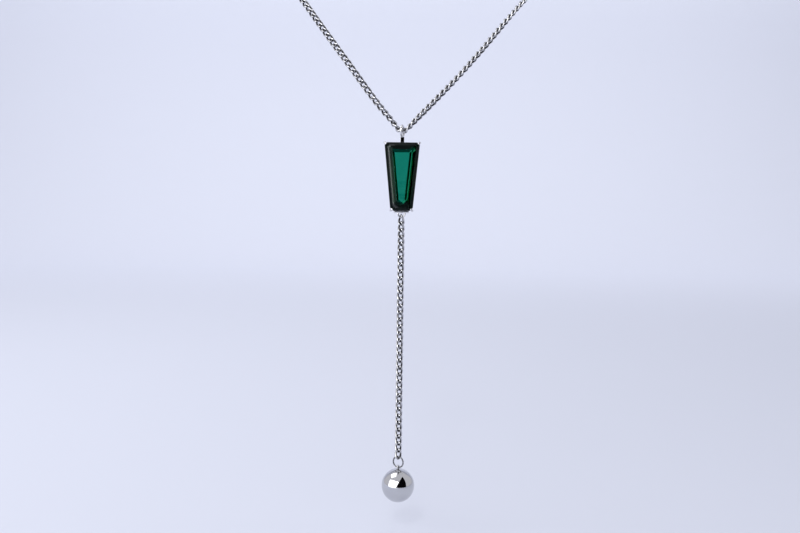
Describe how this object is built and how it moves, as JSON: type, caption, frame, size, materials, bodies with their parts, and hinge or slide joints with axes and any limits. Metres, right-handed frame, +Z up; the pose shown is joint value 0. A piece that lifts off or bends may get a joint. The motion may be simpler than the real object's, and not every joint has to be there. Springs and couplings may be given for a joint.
{
  "type": "pendant necklace",
  "caption": "Curb-chain necklace with a tapered step-cut green glass pendant in a claw setting on a ring bail, and a polished ball on a drop chain below it.",
  "frame": {"origin": "middle of the neck opening, at the height where the chain crosses the sides of the neck", "axes": "+Z up; +Y from the throat to the nape, so the pendant hangs at -Y; +X to the right as seen from the front"},
  "size_m": [0.1136, 0.1161, 0.17],
  "materials": {
    "chain": "polished silver curb chain",
    "clasp": "polished silver",
    "setting": "polished silver, soldered",
    "stone": "deep teal green glass, step cut and polished",
    "ball": "mirror polished silver"
  },
  "bodies": {
    "chain_loop": {"neck_chain": "chain", "clasp": "clasp"},
    "pendant": {"setting": "setting", "stone": "stone", "drop_chain": "chain", "jump_ring": "chain", "ball": "ball"}
  },
  "joints": [
    {"name": "pendant_swing", "type": "hinge", "parent": "chain_loop", "child": "pendant", "pos_m": [-0.005, -0.06, -0.062], "axis": [0.9703, -0.2419, 0], "range_deg": [-60, 60]}
  ]
}
